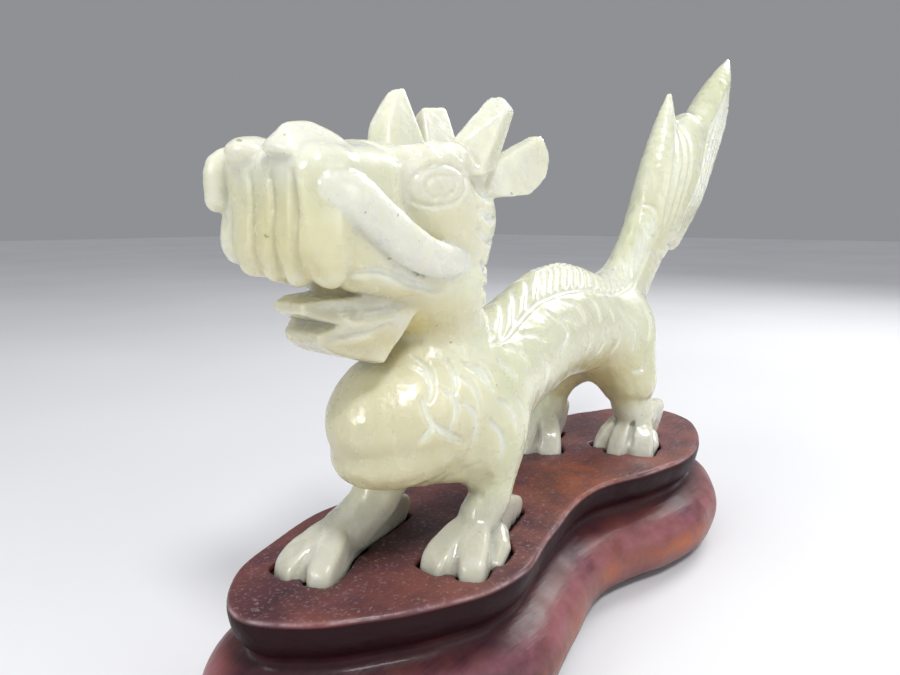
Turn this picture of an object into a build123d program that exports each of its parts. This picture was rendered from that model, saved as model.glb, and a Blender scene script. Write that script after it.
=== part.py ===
from build123d import *

import os
from math import cos, radians, sin

# Jade dragon on a carved wooden stand, in millimetres.
# The origin is the centre of the stand's underside, on the table. +Z is up, the stand is long in X,
# and the dragon looks along -X. The dragon's own left side is on -Y.

# Stand: driving dimensions
DECK_LENGTH = 103.0        # end to end of the upper deck
DECK_HEIGHT = 18.0         # table to deck
FRONT_LOBE_HALF = 16.3     # half widths of the deck's outline
WAIST_HALF = 9.4
REAR_LOBE_HALF = 15.0
FRONT_LOBE_X = -25.5
WAIST_X = 2.5
REAR_LOBE_X = 26.5
FRONT_TIP_Y = 3.0            # the front end of the outline lies off the middle plane
NEAR_TRIM = (3.8, 0.9, 0.2, 0.5, 0.0, 0.0, 0.0, 0.0, 0.0)  # how much narrower the -Y side is, from the front
POCKET_DEPTH = 1.2         # how far the feet stand below the deck
POCKET_GAP = 0.5           # clearance round each foot

# Stand: height above the table, and how far the outline is grown there
PLINTH = ((0.0, 0.4), (1.6, 0.8))
FLANGE = ((1.6, 2.8), (3.2, 3.6), (5.4, 4.0), (7.6, 3.4), (9.4, 1.8), (10.8, -0.9))
COVE = ((10.8, -0.9), (11.6, -1.9), (12.6, -1.5))
DECK_PLATE = ((12.6, -1.5), (14.4, -0.3), (16.6, 0.2), (17.5, 0.0))
TOP_EDGE = ((17.5, 0.0), (DECK_HEIGHT, -0.7))

# Limbs: links a little slimmer than the balls they join, so that the surfaces cross cleanly
SLIM = 0.985
UPWARD = (Align.CENTER, Align.CENTER, Align.MIN)

# Dragon: the flat soles stand on the floor of the stand's pockets
SOLE_Z = DECK_HEIGHT - POCKET_DEPTH

# Feet: ankle, palm centre in X and Y, heading of the toes, toes as (angle, reach, radius), heel's reach
FRONT_TOES = ((-14, 9.0, 2.3), (22, 8.8, 2.0))
HIND_TOES = ((-38, 8.2, 1.8), (-3, 8.3, 2.0), (36, 7.2, 2.2))
FEET = (
    ((-21.4, -7.6, 25.0), (-22.8, -6.9), 190, FRONT_TOES, 11.2),
    ((-30.8, 3.6, 25.0), (-34.8, 5.3), 186, FRONT_TOES, 12.0),
    ((25.6, -4.6, 27.0), (27.6, -5.0), 178, HIND_TOES, 9.0),
    ((19.0, 8.4, 25.0), (17.6, 8.8), 186, HIND_TOES, 8.6),
)
PALM_RADIUS = 3.4
PALM_RISE = 3.1
ANKLE_RADIUS = 3.0
TOE_ROOT_RADIUS = 2.8
TOE_TIP_RADIUS = 1.0
TOE_TIP_RISE = 0.7
HEEL_RADIUS = 2.0
HEEL_RISE = 4.2

# Legs: centres and radii down to the ankle, fore left, fore right, hind left and hind right
LEGS = (
    (((-21.0, -4.6, 36.0), (-20.6, -7.0, 30.0), (-21.4, -7.6, 25.0)), (7.0, 4.4, 2.8)),
    (((-28.0, 1.0, 33.0), (-30.8, 3.6, 25.0)), (6.5, 2.8)),
    (((25.6, -0.6, 39.0), (25.2, -3.0, 33.5), (24.8, -4.2, 29.4)), (7.2, 5.2, 4.4)),
    (((24.0, 4.6, 38.0), (19.4, 8.0, 27.0)), (6.6, 3.2)),
)

# Dragon's body: centre of each cross-section, tilt of its plane from upright, half width, half height
TRUNK = (
    ((-31.0, -2.2, 36.5), 10, 9.0, 8.2),
    ((-22.0, -2.4, 36.8), 12, 9.4, 9.4),
    ((-10.0, -1.2, 38.6), 12, 8.2, 8.3),
    ((3.0, 0.2, 41.2), 6, 7.5, 8.4),
    ((15.0, 1.2, 41.0), -6, 7.6, 8.6),
    ((25.0, 1.8, 39.3), -12, 7.8, 9.0),
)

# Chest and rump: centre and half sizes
CHEST = ((-29.8, -1.8, 36.2), 11.2, 9.2, 8.6)
RUMP = ((26.0, 1.9, 39.4), 8.2, 7.6, 9.0)

# Comb of the back: number of teeth, first and last X, peak and how fast it falls away from it, thickness
COMB_TEETH = 14
COMB_FIRST_X = -14.0
COMB_LAST_X = 27.0
COMB_PEAK = (8.0, 51.6)
COMB_FALL = 0.0130
COMB_THICKNESS = 3.0
TOOTH_RUN = 2.2
TOOTH_RISE = 1.1

# Tail: centre, lean of its plane from level, half length along X, half width
TAIL = (
    ((27.5, 1.6, 40.0), 50, 8.5, 6.6),
    ((33.0, 0.8, 47.5), 34, 7.0, 5.4),
    ((36.8, -0.4, 54.0), 25, 6.3, 4.7),
    ((40.6, -1.6, 61.0), 22, 7.8, 5.2),
    ((44.4, -2.6, 68.0), 20, 8.2, 4.9),
    ((47.2, -3.2, 73.5), 20, 6.0, 3.8),
)
# The flame's prongs and its short tuft: centres and radii
PRONGS = (
    (((37.0, -1.2, 60.0), (38.8, -1.8, 68.0), (40.4, -2.0, 75.5), (41.5, -2.0, 81.3)), (4.6, 3.9, 2.4, 0.9)),
    (((47.0, -3.2, 66.0), (53.0, -3.8, 75.0), (58.6, -4.4, 83.0), (63.0, -5.0, 90.3)), (5.6, 4.4, 2.6, 0.9)),
    (((46.0, -3.0, 58.0), (53.0, -3.4, 67.0), (59.6, -3.8, 77.0)), (3.6, 3.0, 1.0)),
)

# Head and neck
SKULL = ((-28.5, -2.0, 60.0), 13.0, 8.0, 7.4)
NECK = (((-26.0, -2.4, 42.0), (-26.6, -2.2, 50.0), (-26.0, -2.0, 57.0)), (8.2, 6.8, 7.6))
HEAD_Y = -2.0              # the head's middle plane
MUZZLE_CENTRE = (-43.2, -1.6, 60.0)
MUZZLE_SIZE = (12.6, 15.4, 12.0)
MUZZLE_ROUNDING = 2.6
FOLDS_Y = (-8.0, -3.8, 0.4, 4.6)
FOLD = (((-47.9, 62.6), (-47.3, 55.0)), (2.1, 1.9))
NOSTRILS_Y = (-5.6, 2.0)
NOSTRIL = (-46.4, 65.4, (3.8, 3.2, 2.2))
# The long smooth lip, from the corner of the muzzle back to the jaw: X, distance from the middle plane, Z
LIP = (((-46.4, 7.4, 62.6), (-42.0, 8.2, 61.2), (-36.6, 8.0, 56.6), (-30.4, 7.4, 53.6), (-23.4, 6.6, 53.2)),
       (1.9, 2.0, 2.0, 1.8, 1.2))
EYE = ((-31.4, 6.4, 63.0), (2.6, 2.0, 2.2))
BROW = ((-33.0, 4.2, 65.6), (4.4, 2.6, 1.8), 8)
# Horns and ears: centre of the base and of the tip, and half sizes of the ellipse at each
HORNS = (
    ((-26.0, -5.8, 64.0), (-19.6, -8.7, 73.2), (3.2, 2.2), (0.9, 0.8)),
    ((-26.6, 3.0, 65.0), (-24.2, 5.4, 74.6), (3.0, 2.2), (0.9, 0.8)),
    ((-20.6, -5.4, 62.0), (-13.6, -9.2, 68.0), (3.6, 1.7), (1.4, 0.8)),
    ((-21.0, 2.4, 64.0), (-18.0, 5.2, 73.0), (2.6, 2.0), (1.5, 1.0)),
)
JAW = ((-36.6, -2.2, 52.4), 7.6, 6.0, 4.4, 0, 14)
# The beard's two pointed lobes and its blunt root
BEARD = (
    (((-33.0, -3.6, 49.6), (-41.0, -3.4, 50.2), (-47.6, -3.0, 50.0)), (3.2, 2.2, 0.8)),
    (((-34.0, -4.4, 47.6), (-41.0, -4.4, 47.4), (-47.6, -4.0, 47.2)), (3.2, 2.4, 0.8)),
    (((-30.0, -2.6, 46.0), (-37.6, -2.4, 43.6)), (4.2, 1.6)),
)


def stand_outline(grow):
    """Two round lobes joined by a waist, grown outwards by `grow`."""
    end = DECK_LENGTH / 2 + grow
    far = [
        (-end * 0.905, 0.66 * FRONT_LOBE_HALF + 0.75 * grow),
        (FRONT_LOBE_X - 9.5, 0.93 * FRONT_LOBE_HALF + grow),
        (FRONT_LOBE_X, FRONT_LOBE_HALF + grow),
        (FRONT_LOBE_X + 12.0, 0.79 * FRONT_LOBE_HALF + grow),
        (WAIST_X, WAIST_HALF + grow),
        (REAR_LOBE_X - 10.0, 0.90 * REAR_LOBE_HALF + grow),
        (REAR_LOBE_X, REAR_LOBE_HALF + grow),
        (REAR_LOBE_X + 10.5, 0.88 * REAR_LOBE_HALF + grow),
        (end * 0.925, 0.50 * REAR_LOBE_HALF + 0.75 * grow),
    ]
    near = [(x, trim - w) for (x, w), trim in zip(far, NEAR_TRIM)]
    loop = [(-end, FRONT_TIP_Y)] + far + [(end, 0.0)] + near[::-1]
    return make_face(Spline(loop, periodic=True))


def tier(levels):
    """A tier of the stand, lofted through outlines of the given height and growth."""
    faces = [Pos(0, 0, z) * stand_outline(grow) for z, grow in levels]
    return loft(faces)


def ball(centre, radius_x, radius_y, radius_z, turn=0.0, tilt=0.0):
    """An ellipsoid, tilted about Y and then turned about Z."""
    shape = scale(Sphere(1), by=(radius_x, radius_y, radius_z))
    return Pos(*centre) * Rot(0, 0, turn) * Rot(0, tilt, 0) * shape


def limb(points, radii):
    """Round, tapering limb: a ball at each point and a cone between each pair."""
    solid = Pos(*points[0]) * Sphere(radii[0])
    for start, stop, r0, r1 in zip(points, points[1:], radii, radii[1:]):
        a = Vector(*start)
        b = Vector(*stop)
        length = (b - a).length
        if abs(r0 - r1) < 1e-6:
            link = Cylinder(r0 * SLIM, length, align=UPWARD)
        else:
            link = Cone(r0 * SLIM, r1 * SLIM, length, align=UPWARD)
        solid += Plane(origin=a, z_dir=b - a) * link
        solid += Pos(*stop) * Sphere(r1)
    return solid


def blade(outline, thickness):
    """A flat plate in X and Z with the outline given as (x, z), centred on Y = 0."""
    return extrude(Plane.XZ * make_face(Polyline(*outline, close=True)), amount=thickness / 2, both=True)


def spike(base, tip, base_size, tip_size, flat=(0, 1, 0)):
    """A horn, ear or tuft: an ellipse at the base drawn out to a smaller one at the tip."""
    start = Vector(*base)
    stop = Vector(*tip)
    along = stop - start
    side = Vector(*flat).cross(along)
    sections = [
        Plane(origin=start, x_dir=side, z_dir=along) * Ellipse(*base_size),
        Plane(origin=start + along * 0.55, x_dir=side, z_dir=along)
        * Ellipse(base_size[0] * 0.66 + tip_size[0] * 0.34, base_size[1] * 0.66 + tip_size[1] * 0.34),
        Plane(origin=stop, x_dir=side, z_dir=along) * Ellipse(*tip_size),
    ]
    return loft(sections)


def trunk():
    """The body, lofted from the chest to the rump through upright ellipses."""
    sections = []
    for centre, tilt, half_width, half_height in TRUNK:
        plane = Plane(origin=centre, x_dir=(0, 1, 0), z_dir=(cos(radians(tilt)), 0, sin(radians(tilt))))
        sections.append(plane * Ellipse(half_width, half_height))
    return loft(sections)


def comb():
    """The row of slanted cuts along the ridge of the back, from the shoulders to the tail's root."""
    points = [(COMB_LAST_X, 44.0), (COMB_FIRST_X, 40.0)]
    for i in range(COMB_TEETH):
        x = COMB_FIRST_X + (COMB_LAST_X - COMB_FIRST_X) * i / COMB_TEETH
        top = COMB_PEAK[1] - COMB_FALL * (x - COMB_PEAK[0]) ** 2
        points += [(x, top - 1.0), (x + TOOTH_RUN, top - 1.0 + TOOTH_RISE)]
    return Pos(0, 0.2, 0) * blade(points, COMB_THICKNESS)


def tail():
    """The tail's stem, widening into a flame of two long prongs and a short tuft."""
    sections = []
    for centre, lean, half_length, half_width in TAIL:
        plane = Plane(origin=centre, x_dir=(0, 1, 0), z_dir=(sin(radians(lean)), 0, cos(radians(lean))))
        sections.append(plane * Ellipse(half_width, half_length))
    flame = loft(sections)
    for points, radii in PRONGS:
        flame += limb(points, radii)
    return flame


def toe_tip(palm, heading, toe):
    """Centre of a toe's tip in X and Y."""
    angle, reach, _ = toe
    a = radians(heading + angle)
    run = reach - TOE_TIP_RADIUS
    return (palm[0] + run * cos(a), palm[1] + run * sin(a))


def paw(ankle, palm, heading, toes, heel_reach):
    """A clawed foot: a palm that slopes down from the ankle to splayed toes, and a round heel spur."""
    centre = (*palm, SOLE_Z + PALM_RISE)
    foot = limb([ankle, centre], [ANKLE_RADIUS, PALM_RADIUS])
    for toe in toes:
        tip = toe_tip(palm, heading, toe)
        radius = toe[2]
        knuckle = (palm[0] * 0.36 + tip[0] * 0.64, palm[1] * 0.36 + tip[1] * 0.64, SOLE_Z + radius + 1.1)
        toe_line = [centre, knuckle, (*tip, SOLE_Z + TOE_TIP_RISE)]
        foot += limb(toe_line, [TOE_ROOT_RADIUS, radius, TOE_TIP_RADIUS])
    a = radians(heading + 180)
    run = heel_reach - HEEL_RADIUS
    spur = (palm[0] + run * cos(a), palm[1] + run * sin(a), SOLE_Z + HEEL_RISE)
    foot += limb([centre, spur], [HEEL_RADIUS + 0.1, HEEL_RADIUS])
    return foot


def pocket(palm, heading, toes):
    """The shallow recess in the deck that one foot stands in."""
    outline = Pos(*palm) * Circle(PALM_RADIUS + POCKET_GAP)
    for toe in toes:
        tip = toe_tip(palm, heading, toe)
        run = Vector(tip[0] - palm[0], tip[1] - palm[1])
        middle = ((palm[0] + tip[0]) / 2, (palm[1] + tip[1]) / 2)
        slot = SlotCenterToCenter(run.length, 2 * (toe[2] + POCKET_GAP))
        outline += Pos(*middle) * Rot(0, 0, heading + toe[0]) * slot
    return Pos(0, 0, SOLE_Z) * extrude(outline, amount=2 * POCKET_DEPTH)


def legs():
    """The two fore and two hind legs. The right fore leg stands ahead of the left one."""
    solid = None
    for (points, radii), foot in zip(LEGS, FEET):
        leg = limb(points, radii) + paw(*foot)
        solid = leg if solid is None else solid + leg
    return solid


def muzzle():
    """The tall box of the muzzle, with the folds of the upper lip, the nostrils and the long side lips."""
    solid = fillet((Pos(*MUZZLE_CENTRE) * Box(*MUZZLE_SIZE)).edges(), MUZZLE_ROUNDING)
    ends, radii = FOLD
    for y in FOLDS_Y:
        solid += limb([(x, y, z) for x, z in ends], radii)
    x, z, half_sizes = NOSTRIL
    for y in NOSTRILS_Y:
        solid += ball((x, y, z), *half_sizes)
    points, radii = LIP
    for side in (-1, 1):
        solid += limb([(x, HEAD_Y + side * across, z) for x, across, z in points], radii)
    return solid


def head():
    """Skull, neck, muzzle, eyes, horns, ears, jaw and beard."""
    solid = ball(*SKULL) + limb(*NECK) + muzzle() + ball(*JAW)
    for side in (-1, 1):
        (x, across, z), half_sizes = EYE
        solid += ball((x, HEAD_Y + side * across, z), *half_sizes)
        (x, across, z), half_sizes, tilt = BROW
        solid += ball((x, HEAD_Y + side * across, z), *half_sizes, 0, tilt)
    for horn in HORNS:
        solid += spike(*horn)
    for points, radii in BEARD:
        solid += limb(points, radii)
    return solid


def dragon():
    """The whole figure, carved from one block of stone."""
    solid = trunk() + ball(*CHEST) + ball(*RUMP)
    solid += comb()
    solid += tail()
    solid += legs()
    solid += head()
    above_sole = Pos(0, 0, SOLE_Z) * Box(300, 100, 200, align=UPWARD)
    return solid & above_sole


def stand():
    """The whole stand, carved from one block of wood."""
    solid = tier(PLINTH) + tier(FLANGE) + tier(COVE) + tier(DECK_PLATE) + tier(TOP_EDGE)
    for _, palm, heading, toes, _ in FEET:
        solid -= pocket(palm, heading, toes)
    return solid


os.makedirs("parts", exist_ok=True)
export_step(stand(), "parts/wooden_stand.step")
export_step(dragon(), "parts/jade_dragon.step")
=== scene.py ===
"""Looks of the jade dragon and its carved stand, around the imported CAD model.

Both pieces are sculpted as signed-distance clay in millimetres, in the CAD frame, and meshed.
The dragon looks along -X, and its left side, which the camera sees, is on -Y.
"""

from math import cos, pi, radians, sin

import bmesh
import bpy
import numpy as np
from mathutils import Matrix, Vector


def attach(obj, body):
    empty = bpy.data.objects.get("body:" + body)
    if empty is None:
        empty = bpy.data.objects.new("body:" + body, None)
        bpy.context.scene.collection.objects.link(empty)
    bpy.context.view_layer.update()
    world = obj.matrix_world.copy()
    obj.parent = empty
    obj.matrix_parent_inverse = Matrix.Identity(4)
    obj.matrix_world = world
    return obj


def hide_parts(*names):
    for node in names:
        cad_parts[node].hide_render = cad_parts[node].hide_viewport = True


MM = 0.001  # metres in one of the clay's millimetres

# Clay
DRAGON_STEP = 0.33
STAND_STEP = 0.45
FAR = 6.0  # distance that the empty clay starts with
EASING_PASSES = 2  # passes that bring the mesh onto the true surface
LANDING_TRAVEL = 14.0  # how far off a carved line starts
LANDING_STEPS = 36  # most steps that it takes to reach the surface

# Stand
DECK_LENGTH = 103.0
DECK_Z = 18.0
POCKET_DEPTH = 1.2
POCKET_GAP = 0.4
SOLE_Z = DECK_Z - POCKET_DEPTH
# Outline of the deck: X and half width of its lobes and its waist
FRONT_LOBE = (-25.5, 16.3)
WAIST = (2.5, 9.4)
REAR_LOBE = (26.5, 15.0)
FRONT_TIP_Y = 3.0  # the front end lies off the middle plane
# How much narrower the -Y side is than the other one, point by point from the front
NEAR_TRIM = (5.6, 2.5, 1.2, 0.7, 0.0, 0.0, 0.0, 0.0, 0.0)

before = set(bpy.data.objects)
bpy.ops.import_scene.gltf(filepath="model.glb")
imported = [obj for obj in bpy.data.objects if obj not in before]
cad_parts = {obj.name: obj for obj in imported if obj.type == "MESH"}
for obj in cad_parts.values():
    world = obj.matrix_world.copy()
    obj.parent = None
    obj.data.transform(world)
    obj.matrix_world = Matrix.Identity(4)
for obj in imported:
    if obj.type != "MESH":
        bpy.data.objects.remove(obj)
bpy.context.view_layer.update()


# ---- clay

def soft_min(a, b, soft):
    """The smaller of a and b, with the corner between them rounded over `soft`."""
    if soft <= 0:
        return np.minimum(a, b)
    h = np.maximum(soft - np.abs(a - b), 0.0) / soft
    return np.minimum(a, b) - h * h * soft * 0.25


def soft_max(a, b, soft):
    """The larger of a and b, rounded in the same way."""
    return -soft_min(-a, -b, soft)


class Shape:
    """A distance function of X, Y and Z, and the box outside which it is well clear of its surface."""

    def __init__(self, distance, low, high):
        self.distance = distance
        self.low = np.asarray(low, float)
        self.high = np.asarray(high, float)


class Clay:
    """A solid built up by joining and cutting shapes, kept on a grid and as the list of its strokes."""

    def __init__(self, low, high, step):
        self.step = step
        self.axes = [np.arange(a, b + step, step) for a, b in zip(low, high)]
        self.field = np.full([len(a) for a in self.axes], FAR, np.float32)
        self.strokes = []
        self.smooth_count = 0  # strokes made before the fine carving

    def _stroke(self, shape, soft, cut):
        margin = soft + 2.5 * self.step + 0.6
        self.strokes.append((shape, soft, cut, margin))
        window = []
        for axis, low, high in zip(self.axes, shape.low, shape.high):
            first, last = np.searchsorted(axis, (low - margin, high + margin))
            window.append(slice(max(first - 1, 0), last + 1))
        window = tuple(window)
        x, y, z = np.ix_(*(axis[w] for axis, w in zip(self.axes, window)))
        d = shape.distance(x, y, z)
        old = self.field[window]
        self.field[window] = soft_max(old, -d, soft) if cut else soft_min(old, d, soft)

    def join(self, shape, soft=0.0):
        self._stroke(shape, soft, False)

    def cut(self, shape, soft=0.0):
        self._stroke(shape, soft, True)

    def at(self, points, count=None):
        """Signed distance at any points, from the first `count` strokes and not from the grid."""
        out = np.full(len(points), FAR)
        for shape, soft, cut, margin in self.strokes[:count]:
            near = np.all((points > shape.low - margin) & (points < shape.high + margin), axis=1)
            if not near.any():
                continue
            p = points[near]
            d = shape.distance(p[:, 0], p[:, 1], p[:, 2])
            out[near] = soft_max(out[near], -d, soft) if cut else soft_min(out[near], d, soft)
        return out

    def slope(self, points, reach):
        """How the distance grows along X, Y and Z, measured over `reach` to either side."""
        grad = np.zeros_like(points)
        for axis in range(3):
            nudge = np.zeros(3)
            nudge[axis] = reach
            grad[:, axis] = (self.at(points + nudge) - self.at(points - nudge)) / (2 * reach)
        return grad

    def pull(self, points):
        """The short steps that bring points near the surface onto it (Newton's method)."""
        value = self.at(points)
        grad = self.slope(points, 0.1)
        steep = np.maximum((grad ** 2).sum(1), 0.25)
        return -grad * np.clip(value / steep, -self.step, self.step)[:, None]

    def outward(self, points):
        """The directions that point straight out of the surface."""
        grad = self.slope(points, 0.2)
        return grad / np.maximum(np.linalg.norm(grad, axis=1, keepdims=True), 1e-9)

    def land(self, points, direction):
        """Slides points along a direction until they meet the surface."""
        direction = np.asarray(direction, float)
        direction = direction / np.linalg.norm(direction)
        p = np.array(points, float) - direction * LANDING_TRAVEL
        for _ in range(LANDING_STEPS):
            p += direction * (np.clip(self.at(p), -1.0, 1.5) * 0.8)[:, None]
        return p

    def mesh(self):
        """Quads over the zero level of the field, by surface nets, then eased onto the true surface."""
        points, quads = surface_net(self.field)
        low = np.array([a[0] for a in self.axes])
        points = points * self.step + low
        for _ in range(EASING_PASSES):
            points += self.pull(points)
        return points, quads


def surface_net(field):
    """A point in every cell that the surface crosses, and a quad round every edge it crosses."""
    inside = field < 0
    n = np.array(field.shape) - 1
    corners = [(a, b, c) for a in (0, 1) for b in (0, 1) for c in (0, 1)]
    count = np.zeros(n, np.int8)
    for a, b, c in corners:
        count += inside[a:n[0] + a, b:n[1] + b, c:n[2] + c]
    cells = np.argwhere((count > 0) & (count < 8))
    value = np.stack([field[cells[:, 0] + a, cells[:, 1] + b, cells[:, 2] + c] for a, b, c in corners], 1)
    total = np.zeros((len(cells), 3))
    hits = np.zeros(len(cells))
    for i, start in enumerate(corners):
        for j, stop in enumerate(corners):
            step = np.subtract(stop, start)
            if step.sum() != 1 or (step < 0).any():
                continue
            crossing = (value[:, i] < 0) != (value[:, j] < 0)
            share = np.where(crossing, value[:, i] / np.where(crossing, value[:, i] - value[:, j], 1), 0)
            total += crossing[:, None] * (np.array(start) + share[:, None] * step)
            hits += crossing
    points = cells + total / hits[:, None]
    number = np.full(n, -1, np.int32)
    number[tuple(cells.T)] = np.arange(len(cells))
    quads = []
    for axis in range(3):
        u, v = [k for k in range(3) if k != axis]
        edges = np.argwhere(np.diff(inside, axis=axis))
        across = edges[:, (u, v)]
        edges = edges[((across > 0) & (across < n[[u, v]])).all(1)]
        ring = []
        for du, dv in ((-1, -1), (0, -1), (0, 0), (-1, 0)):
            cell = edges.copy()
            cell[:, u] += du
            cell[:, v] += dv
            ring.append(number[tuple(cell.T)])
        ring = np.stack(ring, 1)
        solid_behind = inside[tuple(edges.T)]
        flip = solid_behind if axis == 1 else ~solid_behind
        ring[flip] = ring[flip][:, ::-1]
        quads.append(ring)
    return points, np.concatenate(quads)


# ---- shapes

def smooth_line(points, per_span):
    """A rounded line (Catmull-Rom) through the points. Extra columns, such as a radius, go along."""
    p = np.array(points, float)
    p = np.vstack([2 * p[0] - p[1], p, 2 * p[-1] - p[-2]])
    out = []
    for a, b, c, d in zip(p, p[1:], p[2:], p[3:]):
        for t in np.arange(per_span) / per_span:
            out.append(0.5 * (2 * b + (c - a) * t + (2 * a - 5 * b + 4 * c - d) * t * t
                              + (3 * b - 3 * c + d - a) * t ** 3))
    out.append(p[-2])
    return np.array(out)


def limb(points, flat=(1.0, 1.0, 1.0)):
    """A round limb through (x, y, z, radius) points, narrowed along each axis by `flat`."""
    flat = np.array(flat, float)
    line = np.array(points, float)
    centres = line[:, :3] / flat
    radii = line[:, 3]
    scale = flat.min()

    def distance(x, y, z):
        x, y, z = x / flat[0], y / flat[1], z / flat[2]
        best = None
        for a, b, ra, rb in zip(centres, centres[1:], radii, radii[1:]):
            run = b - a
            share = ((x - a[0]) * run[0] + (y - a[1]) * run[1] + (z - a[2]) * run[2]) / (run @ run)
            share = np.clip(share, 0.0, 1.0)
            d = np.sqrt((x - a[0] - share * run[0]) ** 2 + (y - a[1] - share * run[1]) ** 2
                        + (z - a[2] - share * run[2]) ** 2) - (ra + share * (rb - ra))
            best = d if best is None else np.minimum(best, d)
        return best * scale

    reach = radii[:, None] * flat
    return Shape(distance, (line[:, :3] - reach).min(0), (line[:, :3] + reach).max(0))


def rotation(turn, tilt):
    """Rows are the shape's own axes: tilted about Y, then turned about Z, in degrees."""
    a, b = radians(turn), radians(tilt)
    about_z = np.array([[cos(a), -sin(a), 0], [sin(a), cos(a), 0], [0, 0, 1]])
    about_y = np.array([[cos(b), 0, sin(b)], [0, 1, 0], [-sin(b), 0, cos(b)]])
    return (about_z @ about_y).T


def blob(centre, radii, turn=0.0, tilt=0.0):
    """An ellipsoid."""
    c = np.array(centre, float)
    r = np.array(radii, float)
    axes = rotation(turn, tilt)

    def distance(x, y, z):
        x, y, z = x - c[0], y - c[1], z - c[2]
        p = [(row[0] * x + row[1] * y + row[2] * z) for row in axes]
        near = np.sqrt(sum((v / s) ** 2 for v, s in zip(p, r)))
        far = np.sqrt(sum((v / (s * s)) ** 2 for v, s in zip(p, r)))
        return near * (near - 1.0) / np.maximum(far, 1e-6)

    reach = np.full(3, r.max())
    return Shape(distance, c - reach, c + reach)


def block(centre, halves, rounding):
    """A box with rounded edges."""
    c = np.array(centre, float)
    h = np.array(halves, float) - rounding

    def distance(x, y, z):
        q = [np.abs(v - middle) - half for v, middle, half in zip((x, y, z), c, h)]
        outer = np.sqrt(sum(np.maximum(v, 0.0) ** 2 for v in q))
        return outer + np.minimum(np.maximum(np.maximum(q[0], q[1]), q[2]), 0.0) - rounding

    reach = np.full(3, np.linalg.norm(halves))
    return Shape(distance, c - reach, c + reach)


def gem(corners, edge):
    """The flat-sided solid that wraps the corners, with its edges eased over `edge`."""
    hull = bmesh.new()
    for corner in corners:
        hull.verts.new(corner)
    bmesh.ops.convex_hull(hull, input=hull.verts)
    bmesh.ops.recalc_face_normals(hull, faces=hull.faces)
    planes = {}
    for face in hull.faces:
        if face.calc_area() > 1e-6:
            n = face.normal
            planes[tuple(round(v, 2) for v in n)] = (*n, n.dot(face.verts[0].co))
    hull.free()

    def distance(x, y, z):
        worst = None
        for a, b, c, reach in planes.values():
            d = a * x + b * y + c * z - reach
            worst = d if worst is None else soft_max(worst, d, edge)
        return worst

    p = np.array(corners, float)
    return Shape(distance, p.min(0), p.max(0))


def under(level):
    """Everything under a level."""
    return Shape(lambda x, y, z: z - level + 0 * x + 0 * y, (-70, -24, level - 3), (70, 24, level))


# ---- the dragon

# Lines of the body are X, Y, Z and radius
TRUNK = ((-30.0, -2.2, 35.4, 7.8), (-22.0, -2.4, 36.4, 8.9), (-10.0, -1.2, 38.8, 8.1),
         (3.0, 0.2, 41.4, 8.2), (15.0, 1.2, 41.0, 8.3), (25.0, 1.8, 39.4, 8.2))
CREST_RADIUS = 1.9
LEFT_FORE_LEG = ((-20.8, -6.2, 33.0, 4.8), (-20.6, -7.2, 28.4, 3.3), (-21.2, -7.5, 24.4, 2.7),
                 (-22.6, -7.0, 21.8, 2.7))
RIGHT_FORE_LEG = ((-26.8, 1.8, 32.0, 4.6), (-28.8, 3.0, 27.6, 3.3), (-31.0, 3.9, 23.6, 3.1),
                  (-34.4, 4.8, 20.4, 2.9))
LEFT_THIGH = ((25.6, -1.0, 39.0, 6.4), (25.4, -2.8, 33.6, 5.6), (25.4, -3.9, 30.2, 5.0))
LEFT_SHANK = ((25.4, -4.2, 28.6, 3.6), (26.6, -4.8, 23.6, 3.4))
RIGHT_THIGH = ((23.6, 5.4, 38.0, 5.6), (21.2, 7.2, 32.4, 4.2), (20.2, 7.8, 29.4, 3.5))
RIGHT_SHANK = ((20.0, 7.9, 28.0, 2.6), (19.0, 8.6, 23.0, 2.7))
NECK = ((-24.8, -2.2, 40.0, 7.2), (-25.4, -2.2, 46.0, 6.4), (-25.8, -2.2, 52.0, 6.6),
        (-25.6, -2.0, 58.0, 7.2))
JAW = ((-28.0, -2.2, 50.8, 5.8), (-40.2, -2.0, 51.8, 3.0))
TAIL_STEM = ((27.5, 1.6, 40.0, 7.6), (32.8, 0.8, 47.0, 5.8), (36.4, -0.4, 53.4, 5.6),
             (40.2, -1.6, 60.6, 7.0), (44.2, -2.6, 67.6, 7.6), (47.2, -3.2, 73.5, 5.6))
# The tail's front prong, main prong and short tuft along the back edge, with how softly each joins
PRONGS = (
    (((36.6, -1.0, 59.0, 4.4), (38.4, -1.7, 67.0, 4.2), (40.2, -2.0, 75.0, 2.8),
      (41.5, -2.0, 81.4, 0.7)), 0.9),
    (((45.6, -3.2, 65.0, 6.0), (51.1, -3.7, 72.6, 5.4), (55.8, -4.3, 79.8, 4.6), (60.2, -4.8, 86.4, 2.6),
      (63.2, -5.0, 90.8, 0.6)), 0.9),
    (((43.8, -2.6, 55.6, 2.8), (51.4, -3.2, 64.4, 3.4), (57.4, -3.6, 73.0, 2.0),
      (60.4, -3.8, 78.0, 0.5)), 0.5),
)
TAIL_NOTCH = ((43.2, -1.0, 75.4, 0.3), (44.8, -1.0, 79.6, 1.3), (46.0, -1.0, 84.0, 2.6))
# Toes of a foot as (angle from its heading, reach, half width)
FRONT_TOES = ((-14, 9.0, 2.9), (22, 8.8, 2.3))
HIND_TOES = ((-38, 8.4, 1.9), (-3, 8.3, 2.3), (36, 7.2, 2.8))
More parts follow.
